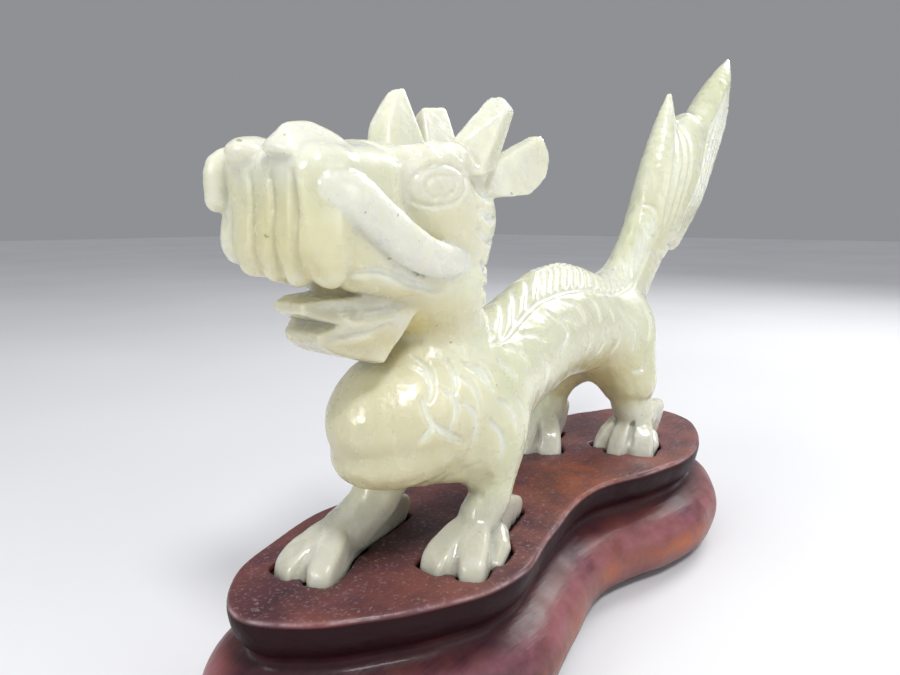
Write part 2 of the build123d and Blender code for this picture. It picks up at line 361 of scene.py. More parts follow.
# Feet: palm centre, heading, toes, heel's reach, heights of the instep, heel and heel's end above the sole
FEET = (
    ((-22.8, -6.9), 190, FRONT_TOES, (11.8, 6.6, 5.6, 3.4)),
    ((-34.8, 5.3), 186, FRONT_TOES, (12.6, 6.6, 6.4, 4.2)),
    ((27.6, -5.0), 178, HIND_TOES, (9.4, 9.4, 8.4, 7.6)),
    ((17.6, 8.8), 186, HIND_TOES, (9.2, 9.0, 8.2, 7.2)),
)
# The ridge of the back, from the nape's foot to the front of the tail
RIDGE = ((-16.0, -2.6, 45.6), (-12.0, -2.0, 46.9), (-8.0, -1.2, 48.4), (-3.5, -0.4, 50.0), (1.0, 0.3, 51.3),
         (5.0, 0.6, 51.9), (9.0, 0.8, 51.9), (13.0, 1.0, 51.0), (17.0, 1.2, 49.6), (21.0, 1.3, 48.0),
         (25.0, 1.2, 47.5), (28.4, 1.0, 49.2), (30.6, 0.6, 52.2), (31.8, 0.0, 55.6), (32.6, -0.8, 59.0))
# The groove below it, as X, distance from the spine's plane, and Z, one point for each of the ridge's
GROOVE = ((-23.0, 7.2, 44.6), (-18.0, 6.2, 44.4), (-13.5, 5.0, 45.2), (-9.0, 4.1, 46.3), (-5.0, 3.7, 47.3),
          (-1.0, 3.9, 47.9), (3.5, 4.2, 48.3), (8.0, 4.5, 48.2), (12.5, 5.0, 47.5), (17.0, 5.3, 46.8),
          (21.5, 5.0, 46.4), (26.0, 5.0, 47.2), (29.6, 5.4, 49.4), (32.2, 5.6, 52.2), (34.4, 5.4, 55.4))
# Edges of the scales on shoulder, flank and rump, as (X, Z) seen from the side
SCALES = (
    ((-20.0, 43.5), (-16.8, 42.6), (-15.0, 40.0)), ((-27.0, 42.6), (-25.4, 41.3), (-24.5, 39.0)),
    ((-13.7, 44.0), (-10.8, 43.7), (-8.6, 42.4)), ((-22.5, 42.2), (-20.8, 41.2), (-19.4, 39.4)),
    ((-5.5, 46.2), (-2.6, 43.1), (-6.0, 39.6)), ((-3.0, 45.1), (-0.5, 44.4), (0.9, 43.0)),
    ((-0.8, 47.3), (2.6, 46.1), (3.2, 43.0)), ((6.8, 47.4), (8.6, 45.6), (8.4, 42.4)),
    ((11.3, 46.4), (13.2, 44.4), (14.2, 42.0)), ((16.0, 45.0), (20.8, 40.6), (20.6, 36.4)),
    ((4.6, 43.4), (5.4, 40.8), (3.8, 38.4)), ((10.4, 41.8), (10.8, 39.4), (9.2, 37.2)),
    ((16.4, 41.4), (17.0, 39.0), (15.4, 36.4)), ((23.6, 44.4), (25.2, 41.4), (23.6, 37.6)),
    ((21.0, 32.9), (22.4, 33.1), (23.0, 34.4)), ((-11.6, 41.2), (-9.4, 39.4), (-10.4, 37.0)),
    ((-34.2, 43.0), (-33.2, 41.4), (-34.8, 39.2)), ((-33.0, 44.0), (-32.6, 42.6), (-33.0, 41.4)),
    ((-30.0, 43.4), (-30.0, 41.6), (-31.2, 39.6)), ((-32.7, 41.0), (-31.2, 38.8), (-32.6, 35.8)),
    ((-35.2, 40.3), (-34.4, 37.0), (-29.6, 34.0)), ((-30.8, 39.1), (-28.0, 36.6), (-28.0, 32.4)),
    ((-29.5, 41.6), (-27.8, 40.0), (-27.4, 36.6)), ((-28.4, 43.0), (-25.9, 40.9), (-24.2, 38.6)),
    ((-26.1, 36.2), (-23.7, 33.4), (-23.4, 30.0)), ((-34.6, 37.2), (-35.2, 36.2), (-36.0, 35.4)),
    ((-20.6, 37.8), (-18.6, 35.0), (-18.8, 31.6)), ((-24.4, 38.2), (-21.8, 36.2), (-21.0, 33.2)),
)
# Edges between which the grooves of the tail run, and the short cuts at its root, as (X, Z)
MAIN_PRONG = (((40.0, 58.5), (43.6, 67.0), (48.4, 75.0), (57.0, 84.5)),
              ((49.0, 60.0), (54.6, 68.0), (58.6, 76.0), (62.0, 87.0)))
FRONT_PRONG = (((34.0, 57.0), (35.8, 66.0), (38.6, 74.0), (41.0, 79.6)),
               ((38.6, 58.0), (41.4, 67.0), (42.6, 74.0), (41.8, 79.2)))
TAIL_CUTS = (((31.5, 57.5), (33.6, 55.4)), ((33.0, 53.5), (35.8, 50.6)), ((37.0, 56.4), (39.8, 56.9)),
             ((37.6, 54.4), (41.2, 54.0)), ((36.6, 52.0), (40.6, 50.2)))
HEAD_Y = -1.9  # the head's middle plane
# The long lip, from the muzzle's corner back to the jaw: X, distance from the middle plane, Z, half width
LIP = ((-46.4, 6.6, 61.8, 1.7), (-44.4, 7.2, 60.8, 2.3), (-41.6, 7.5, 58.8, 2.3), (-38.0, 7.6, 56.5, 2.2),
       (-33.4, 7.2, 54.8, 2.0), (-28.4, 6.4, 54.3, 1.7), (-23.8, 5.2, 55.2, 0.6))
# The jaw's edge under it, in the same way
JAW_EDGE = ((-43.0, 4.9, 54.0, 1.9), (-38.0, 4.9, 53.0, 2.0), (-31.0, 4.6, 52.4, 2.2),
            (-25.0, 3.8, 53.0, 2.2))
# Folds of the upper lip (Y, width, low end, how far ahead) and the grooves between them (Y, depth)
LIP_FOLDS = ((6.2, 1.6, 54.4, -47.8), (2.4, 2.5, 53.3, -48.2), (-1.2, 1.6, 52.9, -48.3),
             (-4.2, 1.7, 52.6, -48.1), (-7.6, 2.0, 52.6, -47.0))
LIP_GROOVES = ((4.6, 0.6), (0.5, 0.3), (-2.8, 0.3), (-5.9, 0.5))
CHEEK_FOLDS = ((-43.0, 52.7), (-39.4, 53.2))  # X and low end
NOSE = ((-50.2, -3.8, 65.0), (-49.6, -1.2, 65.2), (-49.0, -7.0, 64.2), (-48.6, -4.4, 67.7),
        (-45.4, -3.2, 68.2), (-44.2, -6.4, 67.2), (-42.0, -2.4, 65.8), (-41.4, -7.6, 64.8),
        (-46.0, -8.6, 63.4), (-46.0, -1.6, 63.4))
NOSE_FOLD = ((-46.0, 5.6, 65.0, 1.4), (-48.2, 6.6, 64.0, 1.6), (-48.6, 7.0, 60.8, 1.2))
# Two flat-faced horns, then two broad ears: corners, ease of the edges, softness of the join
HORNS = (
    (((-31.0, -6.6, 65.0), (-26.0, -9.4, 63.6), (-22.4, -8.8, 64.6), (-24.0, -4.6, 64.6),
      (-21.7, -7.2, 72.9), (-19.4, -7.4, 73.1), (-18.8, -8.8, 71.4), (-21.6, -9.6, 71.2)), 0.25, 0.5),
    (((-29.6, 1.6, 66.0), (-29.8, 5.6, 65.0), (-21.6, 1.4, 65.6), (-22.0, 6.0, 65.0),
      (-29.0, 5.4, 70.0), (-28.2, 2.6, 70.2), (-22.6, 4.6, 70.0), (-26.6, 3.4, 72.6),
      (-26.2, 4.6, 74.2), (-24.4, 3.8, 74.9), (-23.6, 5.2, 73.8), (-25.8, 6.2, 73.4)), 0.3, 0.6),
    (((-23.2, -6.6, 64.0), (-22.0, -4.2, 64.6), (-21.4, -7.4, 61.4), (-19.6, -4.4, 61.4),
      (-12.8, -8.8, 69.2), (-13.4, -7.0, 69.2), (-10.8, -8.6, 67.0), (-12.0, -9.2, 64.2),
      (-15.2, -8.8, 61.8), (-14.6, -6.2, 62.0)), 0.25, 0.4),
    (((-22.4, 1.4, 66.0), (-22.4, 5.0, 66.0), (-15.6, 1.2, 65.6), (-15.2, 5.4, 65.6),
      (-20.6, 4.2, 73.0), (-16.6, 3.8, 73.4), (-16.0, 5.6, 72.6), (-20.0, 6.2, 72.0)), 0.25, 0.4),
)
# The beard's two wedges, one under the other, in the same way
BEARD = (
    (((-32.0, -7.2, 51.4), (-32.6, 3.2, 51.4), (-35.1, -7.1, 48.2), (-35.4, 3.2, 48.2),
      (-44.6, -5.8, 51.3), (-44.6, 1.8, 51.3), (-47.2, -4.4, 50.9), (-47.2, 0.4, 50.9),
      (-47.2, -4.4, 49.9), (-47.2, 0.4, 49.9), (-43.2, -6.6, 48.4), (-43.2, 2.6, 48.4)), 0.25, 0.3),
    (((-34.6, -7.1, 48.7), (-34.8, 3.2, 48.7), (-38.9, -6.7, 44.3), (-38.6, 2.7, 44.3),
      (-43.2, -6.7, 48.9), (-43.2, 2.7, 48.9), (-45.8, -4.8, 47.7), (-45.8, 0.8, 47.7),
      (-45.6, -4.8, 46.8), (-45.6, 0.8, 46.8), (-43.4, -5.6, 45.4), (-43.4, 1.6, 45.4),
      (-37.0, -4.0, 43.4), (-37.0, 0.4, 43.4)), 0.25, 0.1),
)
# The eye's centre and its two carved rings, as half width, half height and depth
EYE = (-32.6, 62.4)
EYE_RINGS = ((4.0, 2.1, 0.24), (2.2, 1.1, 0.18))
EYE_TILT = 0.12
# Cuts across the brow, locks of the mane, lines below the lip and on the beard, as (X, Z)
BROW_CUTS = (((-39.4, 66.6), (-37.8, 64.4)), ((-36.4, 67.0), (-35.2, 65.2)), ((-33.4, 67.2), (-32.2, 65.4)),
             ((-30.2, 67.2), (-29.0, 65.2)), ((-27.4, 66.8), (-26.2, 64.6)))
MANE_CUTS = (((-25.6, 62.4), (-23.0, 61.4), (-20.0, 61.6)), ((-26.2, 60.2), (-23.4, 59.0), (-19.6, 59.2)),
             ((-26.6, 57.8), (-23.6, 56.4), (-19.4, 56.6)), ((-25.4, 54.0), (-23.0, 53.0), (-19.4, 54.0)),
             ((-24.6, 51.4), (-22.4, 50.6), (-19.4, 51.4)), ((-24.2, 49.0), (-22.0, 48.0), (-19.4, 48.8)))
MOUTH_LINES = (((-45.0, 53.9), (-41.6, 54.0), (-36.6, 52.4), (-31.6, 51.0)),)
BEARD_LINES = (((-46.4, 50.5), (-41.0, 50.2), (-36.0, 50.1)), ((-44.8, 47.2), (-41.0, 47.6), (-37.8, 48.2)),
               ((-43.6, 49.6), (-40.0, 49.3), (-36.4, 49.4)))


def spine(x):
    """Y of the body's middle plane, which is turned a little."""
    return 0.07 * x


def add_body(clay):
    clay.join(limb(smooth_line(TRUNK, 4), (1.0, 0.9, 1.0)))
    # Chest, the bulge under it, and the rump
    clay.join(blob((-30.4, -2.0, 37.0), (10.9, 8.3, 7.4), 0, -12), 2.5)
    clay.join(blob((-31.6, -2.2, 33.2), (9.2, 7.6, 4.6), 0, -10), 0.7)
    clay.join(limb(((-29.0, -3.6, 32.6, 4.0), (-21.5, -5.6, 30.6, 4.6))), 3.0)
    clay.join(blob((25.4, 1.8, 39.0), (7.6, 7.4, 8.6)), 3.0)
    # Shoulders and haunches
    clay.join(blob((-20.5, -5.2, 34.8), (6.4, 5.0, 8.0), 0, -14), 3.0)
    clay.join(blob((-23.0, 2.6, 34.2), (6.4, 5.0, 7.4), 0, -14), 3.0)
    clay.join(blob((24.6, -1.8, 37.4), (6.4, 5.4, 8.4), 0, 10), 3.0)
    clay.join(blob((22.4, 5.6, 37.4), (6.0, 5.0, 8.2), 0, 10), 3.0)
    # The low raised ridge that carries the comb
    crest = [(x, y, z - CREST_RADIUS, CREST_RADIUS) for x, y, z in RIDGE]
    clay.join(limb(smooth_line(crest, 4)), 3.0)


def add_leg(clay, points):
    clay.join(limb(smooth_line(points, 4)), 2.2)


def add_legs(clay):
    # Left fore leg, with the small spur of its elbow, then the right one, which is set further ahead
    add_leg(clay, LEFT_FORE_LEG)
    clay.join(blob((-17.8, -7.6, 28.8), (1.6, 1.6, 2.4)), 1.4)
    add_leg(clay, RIGHT_FORE_LEG)
    # Hind legs: the thigh ends in a rounded cuff, and the shank comes out under it
    add_leg(clay, LEFT_THIGH)
    clay.join(limb(LEFT_SHANK, (1.25, 1.0, 1.0)), 0.2)
    add_leg(clay, RIGHT_THIGH)
    clay.join(limb(RIGHT_SHANK), 0.7)
    for palm, heading, toes, heights in FEET:
        add_foot(clay, palm, heading, toes, heights)


def pointing(angle):
    """The level direction at an angle from +X, in degrees."""
    return np.array((cos(radians(angle)), sin(radians(angle))))


def both_sides(rows):
    """The rows on the right of a foot's way, then the same on its left."""
    return [(along, side * across, rise) for side in (-1, 1) for along, across, rise in rows]


def add_foot(clay, palm, heading, toes, heights):
    """A foot of rounded toes that slope down to the deck, with a heel block and a small inner toe."""
    heel, instep, heel_top, heel_end = heights

    def spots(way, rows):
        """Points of the foot: along its own way, across it, and above the sole."""
        side = np.array((-way[1], way[0]))
        return [(*(palm + way * row[0] + side * row[1]), SOLE_Z + row[2], *row[3:]) for row in rows]

    for angle, reach, half in toes:
        toe = ((-1.8, 1.7, instep), (-1.0, 2.0, 0.4),
               (0.25 * reach, half * 0.75, 0.86 * instep), (0.66 * reach, half * 0.90, 0.62 * instep),
               (0.95 * reach, half * 0.75, 2.5), (reach + 0.3, half * 0.62, -0.6),
               (0.70 * reach, half * 1.05, -0.6))
        clay.join(gem(spots(pointing(heading + angle), both_sides(toe)), 1.0), 0.5)
    for (angle, reach, _), (after, far, _) in zip(toes, toes[1:]):
        reach = (reach + far) / 2
        cleft = ((0.30 * reach, 0, 0.94 * instep, 0.2), (0.48 * reach, 0, 0.80 * instep, 0.4),
                 (0.76 * reach, 0, 3.6, 0.6), (0.98 * reach, 0, 1.8, 0.9), (1.08 * reach, 0, -0.6, 1.5))
        clay.cut(limb(smooth_line(spots(pointing(heading + (angle + after) / 2), cleft), 3)), 0.15)
    way = pointing(heading)
    heel_box = ((1.0, 2.2, instep - 0.8), (1.0, 2.4, 0.4), (-heel * 0.55, 1.6, heel_top),
                (-heel * 0.5, 1.7, 0.6), (-heel, 1.3, heel_end), (-heel - 0.7, 1.1, heel_end - 1.4),
                (-heel + 0.8, 1.2, max(heel_end - 4.0, 0.6)))
    clay.join(gem(spots(way, both_sides(heel_box)), 0.7), 0.4)
    # Two nicks at the bottom of the heel, and the inner toe
    inner = -np.sign(palm[1])
    for along in (0.62, 0.80):
        nick = [(-heel * along, inner * across, 0.9, 0.45) for across in (0.6, 2.6)]
        clay.cut(limb(spots(way, nick)), 0.1)
    thumb = ((-1.8, inner * 2.0, 2.4, 1.3), (0.4, inner * 3.3, 1.7, 1.3), (2.8, inner * 3.9, 0.6, 0.9))
    clay.join(limb(spots(way, thumb)), 0.5)


def add_neck_and_head(clay):
    clay.join(limb(smooth_line(NECK, 4), (1.0, 0.92, 1.0)), 2.6)
    clay.join(blob((-28.6, -2.0, 59.4), (12.2, 6.5, 7.1)), 2.0)
    # Muzzle: a tall box, widest at the lip
    clay.join(block((-43.0, -1.4, 60.0), (6.1, 7.5, 5.8), 2.6), 2.6)
    clay.join(block((-42.2, -1.6, 56.6), (6.0, 7.6, 3.4), 2.0), 1.0)
    # Lower jaw and throat
    clay.join(limb(JAW, (1.0, 1.25, 1.0)), 2.0)
    # Forehead, brows, cheeks and low round eyes
    clay.join(blob((-38.2, -2.0, 65.0), (4.8, 5.2, 2.0), 0, -3), 0.8)
    for side in (-1, 1):
        y = -2.0 + side * 4.4
        brow = ((-36.6, y, 64.6, 1.2), (-32.8, y + side * 0.8, 65.4, 1.5),
                (-28.6, y + side * 0.9, 65.4, 1.7), (-24.2, y + side * 0.6, 64.6, 1.6))
        clay.join(limb(smooth_line(brow, 4)), 1.6)
        clay.join(blob((-28.6, -2.0 + side * 4.6, 57.8), (6.0, 2.6, 3.0), 0, 24), 1.8)
        clay.join(blob((-32.0, -2.0 + side * 6.1, 62.3), (4.8, 1.2, 3.0), side * 6, 10), 1.5)


def lip(side):
    """One side's long smooth lip: a flat ribbon that stands a little proud."""
    line = [(x, HEAD_Y + side * across, z, half) for x, across, z, half in LIP]
    return limb(smooth_line(line, 5), (1.0, 0.5, 1.0))


def add_muzzle(clay):
    # Folds of the upper lip hang like a curtain across the front, with grooves between them
    for y, width, low, front in LIP_FOLDS:
        fold = ((front + 1.9, y, 64.0, 1.1), (front + 1.1, y, 61.0, 1.3), (front + 0.5, y, 57.0, 1.5),
                (front + 0.6, y, low + 1.2, 1.2))
        clay.join(limb(smooth_line(fold, 4), (1.0, width / 1.6, 1.0)), 0.9)
    for y, depth in LIP_GROOVES:
        line = ((-49.0, y, 63.0, 0.2), (-49.1, y - 0.2, 60.0, depth),
                (-49.2, y, 56.4, depth), (-49.0, y + 0.1, 52.4, 1.1))
        clay.cut(limb(smooth_line(line, 4)), 0.5)
    for x, low in CHEEK_FOLDS:
        fold = ((x, -7.0, 58.0, 1.0), (x - 0.2, -7.6, 55.8, 1.4), (x + 0.2, -7.4, low + 1.4, 1.2))
        clay.join(limb(smooth_line(fold, 4), (1.6, 1.0, 1.0)), 0.8)
    # The nose's big left bump and the folds around it, then the two lower bumps on its right
    clay.join(gem(NOSE, 0.7), 0.2)
    clay.join(blob((-43.4, -6.6, 63.9), (2.4, 1.8, 1.2), -10, 8), 0.2)
    clay.join(blob((-47.0, 2.4, 65.2), (3.0, 2.9, 1.6), 0, 4), 0.6)
    clay.join(blob((-43.8, 2.6, 64.2), (2.8, 2.8, 1.7)), 0.4)
    # The jaw's edge, then the long smooth lip over it, which sweeps down from the muzzle's corner
    for side in (-1, 1):
        clay.join(limb([(x, HEAD_Y + side * across, z, r) for x, across, z, r in JAW_EDGE]), 1.2)
        clay.join(lip(side), 0.1)
    clay.join(limb(smooth_line(NOSE_FOLD, 4)), 0.4)


def add_gems(clay, gems):
    """Joins flat-sided solids, given as corners, ease of the edges and softness of the join."""
    for corners, edge, soft in gems:
        clay.join(gem(corners, edge), soft)


def add_tail(clay):
    clay.join(limb(smooth_line(TAIL_STEM, 4), (1.0, 0.68, 1.0)), 3.0)
    for line, soft in PRONGS:
        clay.join(limb(smooth_line(line, 5), (1.0, 0.8, 1.0)), soft)
    clay.cut(limb(TAIL_NOTCH, (1.0, 3.0, 1.0)), 0.3)


def groove(points, radius, ends=0.35):
    """A round-bottomed groove whose two ends run out to `ends` of its radius."""
    share = np.linspace(0.0, 1.0, len(points))
    taper = ends + (1.0 - ends) * np.sqrt(np.clip(4.0 * share * (1.0 - share), 0.0, 1.0))
    return limb(np.column_stack([points, radius * taper]))


def carve(clay, cuts, direction):
    """Cuts (line, radius, soft, ends) grooves, after sliding their lines onto the surface."""
    lengths = [len(line) for line, *_ in cuts]
    landed = clay.land(np.vstack([line for line, *_ in cuts]), direction)
    for line, (_, radius, soft, ends) in zip(np.split(landed, np.cumsum(lengths)[:-1]), cuts):
        clay.cut(groove(line, radius, ends), soft)


def side_cuts(edges, radius, soft=0.1, ends=0.35):
    """Cuts along rounded lines drawn from the side, as (X, Z)."""
    return [(smooth_line([(x, 0.0, z) for x, z in edge], 5), radius, soft, ends) for edge in edges]


def carve_back(clay):
    """The comb's slanted cuts and the long groove below them, on both sides."""
    ridge = smooth_line(RIDGE, 4)
    stations = (*range(0, 16, 4), *range(16, 57, 2))
    for side in (-1, 1):
        down = (0.0, -side * 0.6, -0.8)
        low = smooth_line([(x, spine(x) + side * w, z) for x, w, z in GROOVE], 4)
        cuts = [(low, 0.5, 0.2, 0.35)]
        for k in stations:
            top = ridge[k]
            foot = low[max(k - 1, 0)]
            middle = 0.5 * (top + foot) + (0.5, 0.0, 0.5)
            line = smooth_line([top + (0.0, side * 0.2, 1.0), middle, foot * 0.94 + top * 0.06], 5)
            cuts.append((line, 0.46, 0.15, 0.6))
        carve(clay, cuts, down)


def carve_sides(clay):
    """Scales, the tail's long grooves, the face, the mane and the beard, on both sides."""
    around = np.linspace(0.0, 2 * pi, 25)
    rings = []
    for wide, high, radius in EYE_RINGS:
        x = wide * np.cos(around)
        z = high * np.sin(around) + EYE_TILT * x
        rings.append((np.column_stack([EYE[0] + x, 0 * around, EYE[1] + z]), radius, 0.1, 1.0))
    prongs = [between(*MAIN_PRONG, share) for share in np.linspace(0.06, 0.94, 8)]
    front = [between(*FRONT_PRONG, share) for share in (0.2, 0.5, 0.8)]
    cuts = (rings + side_cuts(SCALES, 0.46, 0.15, 0.2) + side_cuts(prongs, 0.46)
            + side_cuts(front, 0.34, 0.3) + side_cuts(TAIL_CUTS, 0.4) + side_cuts(BROW_CUTS, 0.5)
            + side_cuts(MANE_CUTS, 0.6) + side_cuts(MOUTH_LINES, 0.45) + side_cuts(BEARD_LINES, 0.3, 0.3))
    for side in (-1, 1):
        carve(clay, cuts, (0.0, -side, 0.0))


def between(left, right, share):
    """The edge that lies a share of the way from the left one to the right one."""
    return (1.0 - share) * np.array(left) + share * np.array(right)


def dragon_clay():
    """The whole dragon: smooth forms first, then the fine carving, cut flat under the soles."""
    clay = Clay((-53.0, -15.0, SOLE_Z - 1.0), (67.0, 15.0, 93.0), DRAGON_STEP)
    add_body(clay)
    add_legs(clay)
    add_tail(clay)
    add_neck_and_head(clay)
    add_muzzle(clay)
    add_gems(clay, BEARD)
    add_gems(clay, HORNS)
    clay.smooth_count = len(clay.strokes)
    carve_back(clay)
    carve_sides(clay)
    clay.cut(under(SOLE_Z))
    return clay


def add_object(name, data):
    """Puts a new object into the scene."""
    thing = bpy.data.objects.new(name, data)
    bpy.context.scene.collection.objects.link(thing)
    return thing


def make_piece(name, points, quads):
    """A smoothly shaded mesh in metres, from points in millimetres."""
    mesh = bpy.data.meshes.new(name)
    mesh.from_pydata((points * MM).tolist(), [], quads.tolist())
    mesh.validate()
    mesh.shade_smooth()
    return add_object(name, mesh)


# ---- the stand

# Tiers as (height, how far the outline is grown there)
PLINTH = ((-0.2, 0.4), (0.6, 0.7), (1.9, 0.6))
FLANGE = ((1.6, 1.6), (2.1, 3.0), (3.2, 3.6), (5.4, 4.0), (7.6, 3.4), (9.4, 1.8), (10.8, -0.9),
          (11.6, -1.9))
DECK_PLATE = ((11.2, -2.2), (12.0, -1.9), (12.8, -1.5), (14.4, -0.3), (16.4, 0.2), (17.5, 0.15),
              (18.4, -0.2))
SIDE_WANDER = (0.12, 17.0)  # unevenness, and the length of its waves
DECK_WANDER = (0.07, 13.0)
SPAN = 8  # points of the outline between two of its given ones


def stand_outline():
    """The deck's outline, seen from above: two round lobes joined by a waist."""
    end = DECK_LENGTH / 2
    front_x, front = FRONT_LOBE
    waist_x, waist = WAIST
    rear_x, rear = REAR_LOBE
    far = [(-end * 0.905, 0.66 * front), (front_x - 9.5, 0.93 * front), (front_x, front),
           (front_x + 12.0, 0.79 * front), (waist_x, waist), (rear_x - 10.0, 0.90 * rear), (rear_x, rear),
           (rear_x + 10.5, 0.88 * rear), (end * 0.925, 0.50 * rear)]
    near_side = [(x, trim - w) for (x, w), trim in zip(far, NEAR_TRIM)]
    loop = [(-end, FRONT_TIP_Y)] + far + [(end, 0.0)] + near_side[::-1]
    n = len(loop)
    wrapped = smooth_line([loop[(i - 2) % n] for i in range(n + 4)], SPAN)
    return wrapped[2 * SPAN:2 * SPAN + SPAN * n]


def plan_distance(outline):
    """Distance from the closed outline, seen from above: negative inside it."""
    runs = np.roll(outline, -1, 0) - outline

    def distance(x, y):
        x, y = np.broadcast_arrays(x, y)
        best = np.full(x.shape, 1e9)
        odd = np.zeros(x.shape, bool)
        for (ax, ay), (rx, ry) in zip(outline, runs):
            px, py = x - ax, y - ay
            share = np.clip((px * rx + py * ry) / (rx * rx + ry * ry), 0.0, 1.0)
            best = np.minimum(best, (px - share * rx) ** 2 + (py - share * ry) ** 2)
            if ry:
                odd ^= ((ay > y) != (ay + ry > y)) & (px < rx * py / ry)
        return np.where(odd, -1.0, 1.0) * np.sqrt(best)

    return distance


def wander(x, y, z, size):
    """Slow unevenness between -1 and 1, as a hand leaves it, with waves about `size` long."""
    k = 2 * pi / size
    a = np.sin(k * (x + 0.6 * y) + 0.7) * np.cos(k * (0.8 * y - 0.5 * z) + 1.9)
    b = np.sin(k * 1.7 * (0.7 * x - y + 0.4 * z) + 2.3)
    return 0.6 * a + 0.4 * b


def tier(plan, levels):
    """A tier of the stand: the outline, grown by a smooth curve of the height."""
    curve = smooth_line(levels, 8)
    heights, grows = curve[:, 0], curve[:, 1]
    slopes = np.gradient(grows, heights)
    low, high = heights[0], heights[-1]
    rough, wave = SIDE_WANDER

    def distance(x, y, z):
        level = np.clip(z, low, high)
        grow = np.interp(level, heights, grows)
        lean = np.sqrt(1.0 + np.interp(level, heights, slopes) ** 2)
        side = (plan(x, y) - grow - rough * wander(x, y, z, wave)) / lean
        return np.maximum(side, np.abs(z - (low + high) / 2) - (high - low) / 2)

    reach = DECK_LENGTH / 2 + 4.5
    return Shape(distance, (-reach, -21.0, low), (reach, 21.0, high))


def pocket(figure, palm):
    """The recess that one foot stands in, which follows the foot with a little clearance."""
    def distance(x, y, z):
        flat_x, flat_y = np.broadcast_arrays(x, y)
        best = np.full(flat_x.size, FAR)
        for rise in (0.1, 0.7, 1.3):
            level = np.column_stack([flat_x.ravel(), flat_y.ravel(), np.full(flat_x.size, SOLE_Z + rise)])
            best = np.minimum(best, figure.at(level))
        return np.maximum(best.reshape(flat_x.shape) - POCKET_GAP, SOLE_Z - z)

    return Shape(distance, (palm[0] - 14, palm[1] - 10, SOLE_Z), (palm[0] + 15, palm[1] + 10, DECK_Z + 2))


def stand_clay(figure):
    """The whole stand, with pockets that fit the figure's feet."""
    clay = Clay((-58.0, -22.5, -1.0), (58.0, 22.5, 20.0), STAND_STEP)
    plan = plan_distance(stand_outline())
    clay.join(tier(plan, PLINTH))
    clay.join(tier(plan, FLANGE), 0.4)
    clay.join(tier(plan, DECK_PLATE), 0.8)
    rough, wave = DECK_WANDER
    above = Shape(lambda x, y, z: DECK_Z + rough * wander(x, y, 0.0, wave) - z,
                  (-60, -24, DECK_Z), (60, 24, 24))
    clay.cut(above, 0.5)
    for palm, *_ in FEET:
        clay.cut(pocket(figure, palm), 0.2)
    clay.cut(under(0.0))
    return clay


# ---- materials

# Colours of the jade: its body between two tones, then what is laid over it, which includes painted shade,
# a painted glow and painted highlights
JADE_GREEN = (0.60, 0.62, 0.43)
JADE_MILKY = (0.73, 0.74, 0.60)
# Honey tone, which also carries painted shade on faces that look down
JADE_HONEY_SHADE = (0.62, 0.52, 0.22)
# Paler stone, also used as a painted glow where the jade is thin
JADE_PALE_AND_GLOW = (0.73, 0.73, 0.66)
# The colour of the painted shade under the beard, the chest and on the feet
JADE_SHADE_TONE = (0.36, 0.34, 0.25)
# Whitish colour of the carved grooves: frosted stone and a painted highlight
JADE_FROSTED_GLINT = (0.84, 0.86, 0.78)
JADE_SPECK = (0.30, 0.28, 0.18)
JADE_FINISH = {"IOR": 1.61, "Coat Weight": 0.3, "Coat Roughness": 0.06, "Subsurface Weight": 0.85,
               "Subsurface Radius": (1.0, 0.90, 0.55), "Subsurface Scale": 0.0024}
# Colours of the wood, from its grain to the dust on it, with painted shade, a painted sheen and a painted
# highlight among them
WOOD_GRAIN = ((0.32, (0.034, 0.009, 0.017)), (0.55, (0.080, 0.020, 0.031)), (0.72, (0.145, 0.042, 0.056)))
WOOD_RED = (0.18, 0.054, 0.046)
WOOD_RUBBED = (0.43, 0.105, 0.026)
# The colour of the painted sheen on the flange
WOOD_SHEEN = (0.36, 0.13, 0.17)
# The colour of the painted shade on the stand
WOOD_SHADE_TONE = (0.018, 0.005, 0.007)
# The colour of the painted highlight along the deck's edge
WOOD_GLINT = (0.46, 0.34, 0.36)
WOOD_DUST = (0.26, 0.18, 0.18)
ALONG_GRAIN = (0.14, 1.0, 1.0)
BAND_TOP = 20.0  # height that the stand's colour bands are measured up to


def new_material(name):
    material = bpy.data.materials.new(name)
    material.use_nodes = True
    return material, material.node_tree, material.node_tree.nodes["Principled BSDF"]


def noise(tree, scale, detail, stretch=(1, 1, 1)):
    """3-D noise over the object's own coordinates, `scale` waves to the metre."""
    place = tree.nodes.new("ShaderNodeTexCoord")
    size = tree.nodes.new("ShaderNodeMapping")
    size.inputs["Scale"].default_value = stretch
    texture = tree.nodes.new("ShaderNodeTexNoise")
    texture.inputs["Scale"].default_value = scale
    texture.inputs["Detail"].default_value = detail
    texture.inputs["Roughness"].default_value = 0.55
    tree.links.new(place.outputs["Object"], size.inputs["Vector"])
    tree.links.new(size.outputs["Vector"], texture.inputs["Vector"])
    return texture.outputs["Fac"]


def ramp(tree, value, stops):
    """Maps a value through (position, colour or grey) stops."""
    node = tree.nodes.new("ShaderNodeValToRGB")
    elements = node.color_ramp.elements
    while len(elements) < len(stops):
        elements.new(0.5)
    for element, (position, colour) in zip(elements, stops):
        element.position = position
        element.color = (*colour, 1.0) if isinstance(colour, tuple) else (*[colour] * 3, 1.0)
    tree.links.new(value, node.inputs["Fac"])
    return node.outputs["Color"]


def mix(tree, share, a, b):
    """A colour between a and b. Each of the three is a socket or a constant."""
    node = tree.nodes.new("ShaderNodeMix")
    node.data_type = "RGBA"
    for index, value in ((0, share), (6, a), (7, b)):
        socket = node.inputs[index]
        if isinstance(value, bpy.types.NodeSocket):
            tree.links.new(value, socket)
        elif isinstance(value, tuple):
            socket.default_value = (*value, 1.0)
        else:
            socket.default_value = value
    return node.outputs[2]


def attribute(tree, name):
    """A value that was painted on the piece's points."""
    node = tree.nodes.new("ShaderNodeAttribute")
    node.attribute_name = name
    return node.outputs["Fac"]


